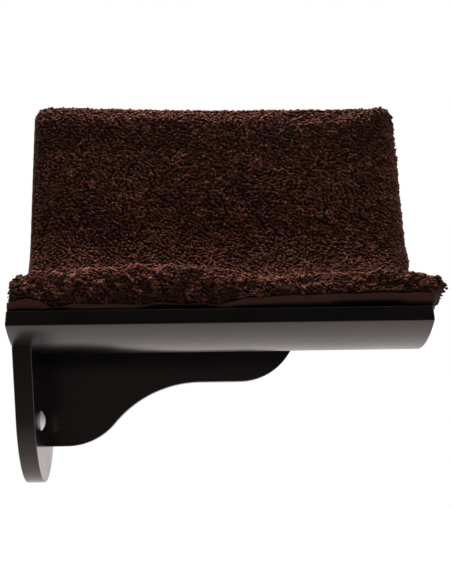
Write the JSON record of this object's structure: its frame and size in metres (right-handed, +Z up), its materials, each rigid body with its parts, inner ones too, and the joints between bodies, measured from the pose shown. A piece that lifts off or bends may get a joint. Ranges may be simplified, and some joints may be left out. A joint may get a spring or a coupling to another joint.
{
  "type": "cat wall shelf",
  "caption": "Cat lounge shelf for a wall: a bent black plywood seat with a tall back on a plate and scrolled gusset, with a lift-off brown fleece pad.",
  "frame": {"origin": "on the wall face of the plate, above the lowest point of its round foot and level with the wall screw holes", "axes": "+X out from the wall, +Y from the front lip to the back, +Z up"},
  "size_m": [0.44, 0.2999, 0.4448],
  "materials": {
    "black_paint": "black satin paint on plywood",
    "zinc_steel": "zinc plated",
    "beech": "plain beech",
    "nickel": "bright nickel",
    "hook_tape": "woven nylon hooks",
    "loop_tape": "brushed nylon loops",
    "lining": "smooth brown woven lining",
    "foam": "open cell foam",
    "fleece": "dark brown sherpa fleece"
  },
  "bodies": {
    "shelf": {"seat_panel": "black_paint", "wall_plate": "black_paint", "gusset": "black_paint", "plate_screws": "zinc_steel", "gusset_screws": "zinc_steel", "shoulder_screws": "zinc_steel", "gusset_dowels": "beech", "seat_hook_strip": "hook_tape", "back_hook_strip": "hook_tape"},
    "pad": {"pad_lining": "lining", "seat_loop_strip": "loop_tape", "back_loop_strip": "loop_tape", "seat_foam": "foam", "back_foam": "foam", "fleece_cover": "fleece"},
    "near_cover": {"near_screw_cover": "nickel"},
    "far_cover": {"far_screw_cover": "nickel"}
  },
  "joints": [
    {"name": "pad_lift", "type": "slide", "parent": "shelf", "child": "pad", "axis": [0, 0, 1], "range_m": [0, 0.25]},
    {"name": "near_cover_pull", "type": "slide", "parent": "shelf", "child": "near_cover", "axis": [1, 0, 0], "range_m": [0, 0.02]},
    {"name": "far_cover_pull", "type": "slide", "parent": "shelf", "child": "far_cover", "axis": [1, 0, 0], "range_m": [0, 0.02]}
  ]
}
